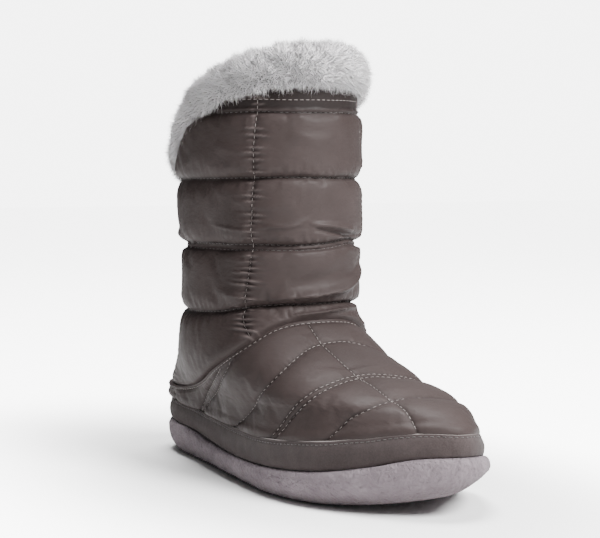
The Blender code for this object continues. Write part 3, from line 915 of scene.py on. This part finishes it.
def beside(x, z, path):
    """Signed distance of a grid from a smooth path, and how far along the path each point is."""
    path = read_table(path, np.linspace(0.0, len(path) - 1.0, 8 * len(path)))
    best = np.full(z.shape, 1e9)
    place = np.zeros(z.shape)
    count = len(path) - 1
    for k in range(count):
        (x0, z0), (run, rise) = path[k], path[k + 1] - path[k]
        f = np.clip(((x - x0) * run + (z - z0) * rise) / (run * run + rise * rise), 0.0, 1.0)
        away = np.hypot(x - x0 - run * f, z - z0 - rise * f)
        near = away < np.abs(best)
        best = np.where(near, away * np.sign((x - x0) * rise - (z - z0) * run), best)
        place = np.where(near, (k + f) / count, place)
    return best, place


def fold(across, z, path, width, height):
    """A soft ridge or trough along a path on a grid, fading out at both ends."""
    distance, place = beside(across, z, path)
    return height * np.sin(np.pi * np.clip(place, 0.0, 1.0)) ** 0.6 * bell(distance, width)


def bars(distance, z, seed):
    """Short narrow crests that cross a stitched upright, one every few millimetres."""
    height = np.zeros(z.shape)
    cell = np.floor(z / BAR_PITCH).astype(np.int64)
    for k in (cell - 1, cell, cell + 1):
        first, second = (lattice(k, column, seed) for column in (0, 1))
        centre = (k + 0.5 + 0.12 * first) * BAR_PITCH + 0.14 * second * distance
        crest = bell(z - centre, 0.62) * bell(distance - 1.5 * first, 4.6 + 2.2 * second)
        height += (1.0 + 0.45 * second) * crest
    return height


def blow_up(base, normal, height, pin, rows, **settings):
    """Heights before and after a sheet is blown up, on some rows and every other column."""
    pick = np.round(np.linspace(0, len(base) - 1, rows)).astype(int)
    base, normal, height, pin = (grid[pick][:, ::2] for grid in (base, normal, height, pin))
    blown = inflate(base + normal * height[..., None], np.clip(pin, 0, 1), **settings)
    return height, ((blown - base) * normal).sum(2)


def wrinkles(base, normal, height, pin):
    """What a blown-up sheet adds to the shaft's height: its gathers, without its overall bulge."""
    _, rise = blow_up(base, normal, height * 0.8, pin, SHEET_ROWS, growth=0.045, pressure=3.0, stiff=0.5)
    reach, limit = 30, 1.3
    kernel = bell(np.arange(-reach, reach + 1), 13.0)
    wide = np.concatenate([rise[:, -reach:], rise, rise[:, :reach]], 1)
    calm = np.stack([np.convolve(row, kernel / kernel.sum(), "valid") for row in wide])
    return refine(np.clip(rise - calm, -limit, limit), *base.shape[:2])


def swell(base, normal, height, pin):
    """The foot piece's height once its sheet is blown up, brought most of the way back to the plan."""
    plan, rise = blow_up(base, normal, height, pin, SHEET_ROWS_FOOT, growth=0.012, pressure=2.5, stiff=1.5)
    limit = 1.2
    return height + refine(limit * np.tanh((rise - plan) * 0.45 / limit), *base.shape[:2])


# ---------- foot piece
def foot_fields(points):
    """Signed distances of a foot grid from its stitch rows and its centre line."""
    side, p, z = np.moveaxis(points, 2, 0)
    rows = []
    for heights, places, half, slant in FOOT_ROWS_TABLE:
        field = p - along(heights, places, z) - slant * smooth(side, -8.0, 26.0)
        rows.append((field / steepness(field, points), half))
    rows.append((np.where(np.abs(side + 2.0) < 24.0, FAR, beside(p, z, SIDE_ROW)[0]), SIDE_ROW_HALF))
    centre = side - (CENTRE_SIDE - 4.0 * smooth(p, 195.0, 245.0))
    return rows, np.where(p > 100.0, centre / steepness(centre, points), FAR)


def build_foot():
    """Quilted vamp and low quarter, stuffed between its stitch rows."""
    angle, levels, base, normal = upper_grid(FOOT_COLUMNS, FOOT_ROWS, FOOT_START, (SEAM,))
    side, p, z = np.moveaxis(base, 2, 0)
    rows, centre = foot_fields(base)
    climb = arc_up(base)
    band_top = [np.interp(BAND_TOP, level, length) for level, length in zip(levels.T, climb.T)]
    edge = climb - band_top
    rest = climb[-1] - climb

    # Stuffed panels between the rows, flat at the band and at the stitched top edge.
    fill = np.ones(z.shape)
    crease_shade, pucker, pin = np.zeros((3, *z.shape))
    for k, (distance, half) in enumerate(rows):
        off = np.abs(distance) - half
        away = np.abs(off)
        fill = np.minimum(fill, np.where(off < 0, 0.34 * shoulder(away, 2.2), shoulder(away, 15.0, 2.6)))
        crease_shade = np.maximum(crease_shade, bell(away, 0.8))
        pin = np.maximum(pin, bell(away, 1.0))
        wrinkle = ridge(noise((z * 0.9 + side * 0.5) / 2.6, distance / 30.0, 40 + k))
        pucker += 0.26 * wrinkle * np.exp(-away / 3.5) * smooth(away, 0.0, 1.6)
    away = np.abs(centre)
    fill = fill * (0.50 + 0.50 * shoulder(away, 11.0, 2.4))
    crease_shade = np.maximum(crease_shade, bell(away, 0.8))
    pin = np.maximum(pin, 0.7 * bell(away, 0.9))
    pucker += 0.14 * ridge(noise(p / 2.8, centre / 30.0, 61)) * np.exp(-away / 3.2)
    fill = fill * (0.45 + 0.55 * shoulder(np.maximum(edge + 1.0, 0.0), 7.0))
    fill = fill * (0.50 + 0.50 * shoulder(np.maximum(rest - 2.4, 0.0), 9.0))
    lump = 0.30 * noise(side / 26.0, p / 24.0, 5) + 0.14 * noise(side / 11.0 + 3, p / 12.0 + z / 13.0, 6)
    soft = smooth(fill, 0.0, 0.5)
    heel = 2.6 * smooth(p, 75.0, 25.0) * smooth(edge, -1.0, 5.0)
    height = -1.2 + 2.7 * fill + lump * soft + (heel + 1.2 * smooth(edge, 6.0, 1.0))

    # Turned top edge with one stitched line, standing off a little round the heel.
    welt = smooth(rest, 4.6, 2.2)
    groove = bell(rest - HEM, 0.6)
    flare = 0.9 * smooth(rest, 5.0, 0.0) * smooth(p, 30.0, 8.0)
    top = FOOT_LAP - 0.35 - 0.45 * groove + flare + heel
    height = height * (1 - welt) + top * welt
    height = np.where(rest < 0.8, height - (0.8 - rest) * 0.6, height)
    # Painted shade: darker in the stitched creases and in the groove below the hem.
    crease_shade = np.maximum(crease_shade * smooth(rest, 0.5, 3.0), 0.8 * groove)
    pin = np.maximum.reduce([pin, smooth(edge, 2.5, 0.5), smooth(rest, 4.0, 2.5)])
    height = swell(base, normal, height, pin)
    outer = base + normal * (height + pucker * soft)[..., None]
    skin = normals_of(outer)

    inner_rows = [0, 14, 28, 42, 56, 70, 84, 96, 106, FOOT_ROWS - 4, FOOT_ROWS - 1]
    inner = base[inner_rows] - normal[inner_rows] * FOOT_INSIDE
    inner[-1] = base[-1] - normal[-1] * 0.1
    # Painted shade in the creases, painted highlight on the pucker crests.
    foot = nylon_piece("foot_quilt", outer, inner, crease_shade * 0.7, 0.0, smooth(pucker, 0.10, 0.30))
    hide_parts("foot_piece")

    lines = []
    visible = (edge > 0.8) & (rest > 3.0)
    for distance, half in rows:
        for shift in sorted({-half, half}):
            for part in (side > CENTRE_SIDE, side <= CENTRE_SIDE):
                lines.append(line_on(np.where(visible & part, distance - shift, np.nan), outer, skin))
    lines.append(line_on(np.where(visible & (p > 120), centre, np.nan), outer, skin))
    lines.append(line_on(rest - HEM, outer, skin, np.broadcast_to(angle, z.shape)))
    stitches("foot_stitches", lines, MATERIALS["thread"], radius=FINE_THREAD)


# ---------- shaft
def row_heights(angle):
    """Height of every stitch row of the shaft for each angle round it, and its lines."""
    front, back = smooth(-np.cos(angle)), smooth(np.cos(angle))
    rows = []
    for rear, sides, fore, lines, bend, degrees, width in SHAFT_ROWS:
        wave = 0.5 * round_noise(angle, 16, 0.0, int(rear)) + bend * bell(np.degrees(angle) - degrees, width)
        rows.append((sides + (rear - sides) * back + (fore - sides) * front + wave, lines))
    return rows


def build_shaft():
    """Quilted shaft in tightly stuffed baffles that meet in deep creases at their stitch rows."""
    angle, _, base, normal = upper_grid(SHAFT_COLUMNS, SHAFT_ROWS_FINE, (SEAM, -UNDER_SEAM), (RIM, INTO_FUR))
    angles = np.broadcast_to(angle, base.shape[:2])
    p, z = base[..., 1], base[..., 2]
    seam_off, rim_off = above(base, SEAM), -above(base, RIM)
    across = np.degrees(angles)

    # Baffles between the rows, with small gathers beside the stitches.
    fill = np.ones(z.shape)
    crease_shade, pucker, crest_highlight = np.zeros((3, *z.shape))
    fields = []
    off_rows = np.full(z.shape, FAR)
    for k, (level, lines) in enumerate(row_heights(angle)):
        distance = z - level
        fields.append((distance, lines))
        away = np.abs(distance)
        below = distance < 0
        off_rows = np.minimum(off_rows, away)
        rise = np.where(below, lapped(away) if lines == 2 else pillow(away, 13.0), pillow(away, 9.5))
        fill = np.minimum(fill, rise)
        # Painted shade along each row's crease.
        crease_shade = np.maximum(crease_shade, bell(away, 0.9))
        for cells, weight, reach, seed in GATHERS:
            wrinkle = ridge(round_noise(angles, cells, distance / 26.0 + below * 7.3, seed + 5 * k))
            pucker += weight * wrinkle * np.exp(-away / reach) * smooth(away, 0.0, 1.8)

    # Stitched uprights, crossed by short crests with a painted highlight.
    uprights = []
    for degrees, weight in UPRIGHTS:
        lean = along(WANDER_Z, WANDER, z) * (1.0 if degrees > 180.0 else -1.0)
        distance = (across - degrees - lean) * np.pi / 180 * SHAFT_RADIUS
        distance = distance + 0.5 * noise(z / 15.0, 0.0, int(degrees))
        uprights.append(distance)
        away = np.abs(distance)
        fill = fill * (0.80 + 0.20 * shoulder(away, 7.0, 2.2))
        crease_shade = np.maximum(crease_shade, 0.5 * bell(away, 0.6))
        crests = bars(distance, z, int(degrees)) * smooth(fill, 0.3, 0.75) * weight
        pucker += 1.2 * crests
        # Painted highlight on the crests.
        crest_highlight = np.maximum(crest_highlight, smooth(crests, 0.25, 1.1))
    fill = fill * pillow(np.maximum(seam_off + 0.6, 0.0), 9.0)
    fill = fill * (1.0 - 0.5 * smooth(p, 78.0, 30.0) * smooth(z, 84.0, 56.0))

    # Lumps, large folds and bulges of the stuffing.
    lump = layered(angles, z, LUMPS)
    for path, width, tall in FOLDS:
        path = [(degrees * np.pi / 180 * SHAFT_RADIUS, level) for degrees, level in path]
        for turned in (0.0, 2 * np.pi * SHAFT_RADIUS):
            lump = lump + fold(angles * SHAFT_RADIUS - turned, z, path, width, tall)
    soft = smooth(fill, 0.10, 0.6)
    # The casing above the top row is flattened and gets painted shade under the fur.
    shaded_casing = smooth(fields[-1][0], 0.5, 2.5)
    height = -0.7 + 4.3 * fill + lump * soft
    part = smooth(z, 82.0, 100.0) * (1.0 - 0.7 * smooth(z, 135.0, 165.0)) * soft
    for degrees, width, more in BULGES:
        height += part * more * bell(across - degrees, width)
    height = height * (1 - 0.80 * shaded_casing) + 0.6 * shaded_casing
    pins = [bell(off_rows, 1.1), smooth(seam_off, 4.0, 1.0), smooth(rim_off, 4.0, 1.0)]
    pin = np.maximum.reduce(pins + [0.4 * bell(distance, 0.9) for distance in uprights])
    gathers = wrinkles(base, normal, height, pin)
    pucker += gathers * (0.35 + 0.75 * np.exp(-off_rows / 6.0)) * (0.5 + 0.5 * smooth(z, 74.0, 92.0))
    height += pucker * soft * (1 - 0.8 * shaded_casing)
    height *= smooth(seam_off, -4.0, 1.0)
    height -= 1.6 * smooth(seam_off, 0.5, -3.0)
    height -= 1.2 * smooth(rim_off, 1.5, -2.0)
    outer = base + normal * height[..., None]
    skin = normals_of(outer)

    inner_rows = [0, 22, 44, 66, 90, 118, 146, 178, 210, SHAFT_ROWS_FINE - 1]
    inner = base[inner_rows] - normal[inner_rows] * SHAFT_INSIDE
    # Painted shade along the creases and on the casing; painted highlight on the crests.
    shaft = nylon_piece("shaft_quilt", outer, inner, crease_shade * 0.8, shaded_casing, crest_highlight)
    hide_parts("shaft")

    open_cloth = (seam_off > 1.0) & (rim_off > 1.0)

    def stitched(distance, order, where=True):
        return line_on(np.where(open_cloth & where, distance, np.nan), outer, skin, order)

    rows = [stitched(distance - shift, angles) for distance, count in fields
            for shift in ((-LAP, 0.0) if count == 2 else (0.0,))]
    others = [stitched(fields[-1][0] - CASING_LINE, angles)]
    others += [stitched(distance, z, np.abs(distance) < 20) for distance in uprights]
    # The rows' stitches take the darkened thread, painted shade in the creases.
    for name, lines, thread in (("row_stitches", rows, "shaded_thread"), ("shaft_stitches", others, "thread")):
        stitches(name, lines, MATERIALS[thread], radius=FINE_THREAD)


# ---------- lining and footbed
def build_lining():
    """Fleece inside the boot, from the footbed up into the fur."""
    angle, levels, base, normal = upper_grid(260, 76, LINING_START, (RIM, INTO_FUR))
    climb = arc_up(base)
    pile = layered(angle, climb, PILE)
    inner = base - normal * (SHAFT_WALL - 0.4 + pile + 0.8 * smooth(levels, 1.2, 0.5))[..., None]
    lining = sleeve("lining", base[::4] - normal[::4] * 3.8, inner, MATERIALS["fleece"])


def build_footbed():
    angle = turn(240)
    rings = []
    profile = [(9.0, GAP), (0.8, GAP), (0.0, GAP + 1.2), (0.0, INSOLE_THICK - 1.4), (0.5, INSOLE_THICK - 0.4)]
    profile += [(inset, INSOLE_THICK - 0.1) for inset in (1.8, 3.5, 5.5, 8, 11, 14, 17, 20, 23)]
    for inset, lift in profile:
        p, s = sole_outline(angle, foot_inset(angle) + FOOTBED_INSET + inset)
        pile = 0.25 * noise(s / 2.0, p / 2.0, 33) if lift > 3 else 0.0
        rings.append(np.stack([s, p, sole_top(p, s) + lift + pile], 1))
    bed = slab("footbed", np.array(rings), MATERIALS["fleece"])
    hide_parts("insole")


# ---------- band and sole
def build_band():
    """Suede band round the foot piece, its top edge rolled in over a stitched line."""
    angle = turn(720)
    rings = upper_rings(angle)
    rows = []
    for share, out in BAND_SECTION:
        point = upper_point(rings, np.full(len(angle), BAND_TOP * min(share, 1.0)))
        grain = 0.10 * round_noise(angle, 240, share * 6.0, 51)
        wave = 0.22 * round_noise(angle, 48, share * 2.0, 52) * (share > 0.05)
        row = point + outward(point) * (out + (grain + wave) * (out > 1.4))[:, None]
        row[:, 2] += 6.0 * max(0.0, share - 1.0) + 0.25 * round_noise(angle, 60, 0.0, 53) * share
        rows.append(row)
    rows = np.array(rows)
    band = new_mesh("suede_band", rows.reshape(-1, 3), tube_faces(len(rows), len(angle)), MATERIALS["suede"])
    # Paler cut edge on the rolled top rows: partly real, partly a painted highlight.
    cut_edge_highlight = [0.8 * (share >= 1.0 and out > 0.4) for share, out in BAND_SECTION]
    shade(band, "edge", np.repeat(cut_edge_highlight, len(angle)))
    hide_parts("rand")
    rings = (grid[BAND_STITCH_ROW] for grid in (rows, normals_of(rows)))
    loop = [np.append(ring, ring[:1], 0) for ring in rings]
    # The band's stitches take the same darkened thread.
    thread = stitches("band_stitches", [loop], MATERIALS["shaded_thread"], pitch=2.9)


def build_sole():
    """Foam sole with a pebbled wall, its inner toe tucked up; at counts the rows of its section."""
    angle = turn(480)
    where = np.linspace(0.0, len(SOLE_SECTION) - 1.0, 52)
    rings = []
    for at, (inset, share) in zip(where, read_table(SOLE_SECTION, where)):
        taper = 0.55 + 0.45 * smooth(-np.cos(angle), 0.1, 0.9) if at < 10 else 1.0
        inset = max(inset, 0.0) * taper
        p, s = sole_outline(angle, inset)
        base = sole_height(SOLE_BASE, p)
        tuck = 4.5 * smooth(p, 205.0, 250.0) * smooth(s, -5.0, 26.0) * smooth(share, 0.75, 0.0)
        z = base + (sole_top(p, s) - base) * np.clip(share, 0, 1) + tuck
        pebble = layered(angle, at, PEBBLES)
        fuzz = 0.30 * round_noise(angle, 300, at, 72) * smooth(at, 8.0, 5.5)
        wall = smooth(at, 3.5, 6.0) * smooth(at, 16.0, 13.0)
        p, s = sole_outline(angle, inset - (pebble + fuzz) * wall)
        rings.append(np.stack([s, p, np.maximum(z, 0.0)], 1))
    sole = slab("foam_sole", np.array(rings), MATERIALS["foam"])
    # Painted shade on the sole's lowest rows.
    shade(sole, "low", np.repeat(smooth(where, 8.5, 5.0), len(angle)))
    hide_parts("outsole")


# ---------- fur
def collar_core(angle, count):
    """Grid of the fur's backing: points round the collar for each place round its section."""
    rings = upper_rings(angle)
    point = upper_point(rings, level_where(rings, RIM))
    out, tall = outward(point), along(RIM[0], FUR_Z, point[:, 1])
    where = np.linspace(0.0, len(FUR_SECTION), count, endpoint=False)
    rows = []
    for side, share in read_table(FUR_SECTION + FUR_SECTION[:1], where):
        row = point + out * side
        row[:, 2] += 1.0 + tall * share
        rows.append(row)
    return np.array(rows)


def hair_mesh(name, roots, tips, normals, seed):
    """Fur piece: every hair is one narrow triangle, shaded like the soft surface it makes up."""
    random = np.random.default_rng(seed)
    count = len(roots)
    side = unit(np.cross(unit(tips - roots), random.normal(size=(count, 3)))) * HAIR_WIDTH / 2
    verts = np.stack([roots - side, roots + side, tips], 1).reshape(-1, 3)
    piece = new_mesh(name, verts, np.arange(count * 3).reshape(-1, 3), MATERIALS["fur"])
    shade(piece, "depth", np.tile([1.0, 1.0, 0.0], count))
    turned = normals * (1.0, -1.0, 1.0)
    piece.data.normals_split_custom_set_from_vertices(np.repeat(turned, 3, 0).astype(np.float32))


def build_fur():
    """Deep off-white pile round the collar: a backing ring and soft locks of fine hairs."""
    angle = turn(360)
    core = collar_core(angle, 40)
    faces = tube_faces(len(core), len(angle))[:, ::-1]
    ring = new_mesh("fur_backing", core.reshape(-1, 3), faces, MATERIALS["fur"])
    shade(ring, "depth", np.full(core.shape[:2], 0.85))
    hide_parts("fur_collar")

    random = np.random.default_rng(7)
    up, round_ = (np.roll(core, -1, axis) - np.roll(core, 1, axis) for axis in (0, 1))
    cross = np.cross(up, round_)
    normal = unit(cross)
    if ((core - core.mean(0, keepdims=True)) * normal).sum() < 0:
        normal = -normal
    area = np.linalg.norm(cross, axis=2).ravel()
    pick = random.choice(area.size, LOCKS, p=area / area.sum())
    place = core.reshape(-1, 3)[pick] + random.normal(size=(LOCKS, 3)) * 0.5
    face = normal.reshape(-1, 3)[pick]
    side, p, z = place.T
    swirl = np.stack([noise(p / 7.0 + k * 5, (z + side) / 7.0, 80 + k) for k in range(3)], 1)
    way = unit(face + 0.55 * swirl + 0.30 * random.normal(size=(LOCKS, 3)) + (0.0, 0.0, 0.05))
    reach = 3.7 + 0.7 * random.random(LOCKS) + 1.5 * noise(p / 6.0, z / 6.0 + side / 7.0, 3)
    spread = random.normal(size=(LOCKS, HAIRS, 3))
    spread -= (spread * face[:, None]).sum(2, keepdims=True) * face[:, None]
    scale = 0.62 + 0.42 * random.random((LOCKS, HAIRS, 1)) ** 0.8
    stray = random.normal(size=(LOCKS, HAIRS, 3)) * 1.05
    roots = place[:, None] + spread * 0.8 - face[:, None] * 0.5
    tips = place[:, None] + way[:, None] * reach[:, None, None] * scale + spread * 0.6 + stray
    soft = np.repeat(face * 0.85 + way * 0.45, HAIRS, 0)
    soft = unit(soft + 0.14 * random.normal(size=soft.shape))
    halves = (np.split(grid.reshape(-1, 3), 2) for grid in (roots, tips, soft))
    for k, part in enumerate(zip(*halves)):
        hair_mesh("fur_%d" % (k + 1), *part, 20 + k)


# ---------- everything
place_camera()
MATERIALS = {
    "nylon": nylon_material(),
    "thread": thread_material("thread", (0.26, 0.226, 0.213)),
    # A darker copy of the thread: painted shade for stitches sunk in the shaft's creases.
    "shaded_thread": thread_material("shaded_thread", (0.05, 0.041, 0.039)),
    "suede": suede_material(),
    "foam": foam_material(),
    "fur": fur_material("fur", (0.97, 0.945, 0.955), (0.93, 0.90, 0.91)),
    "fleece": plain_material("fleece", (160.0, 4.0, 0.7), (0.56, 0.49, 0.40), (0.76, 0.70, 0.60),
                             (420.0, 4.0, 0.7), 0.9, 0.9,
                             Roughness=0.95, Sheen_Weight=0.6, Sheen_Roughness=0.5),
    "braid": plain_material("braid", (500.0, 2.0), (0.014, 0.0105, 0.010), (0.040, 0.031, 0.029),
                            (1500.0, 2.0), 0.06, 0.6, Roughness=0.8, Specular_IOR_Level=0.1),
    "cord_end": plain_material("cord_end", (200.0, 2.0), (0.012, 0.009, 0.0085), (0.018, 0.014, 0.013),
                               (400.0,), 0.08, 0.5, Roughness=0.45, Specular_IOR_Level=0.2),
}
build_drawcord()
build_studio()
build_foot()
build_shaft()
build_lining()
build_footbed()
build_band()
build_sole()
build_fur()
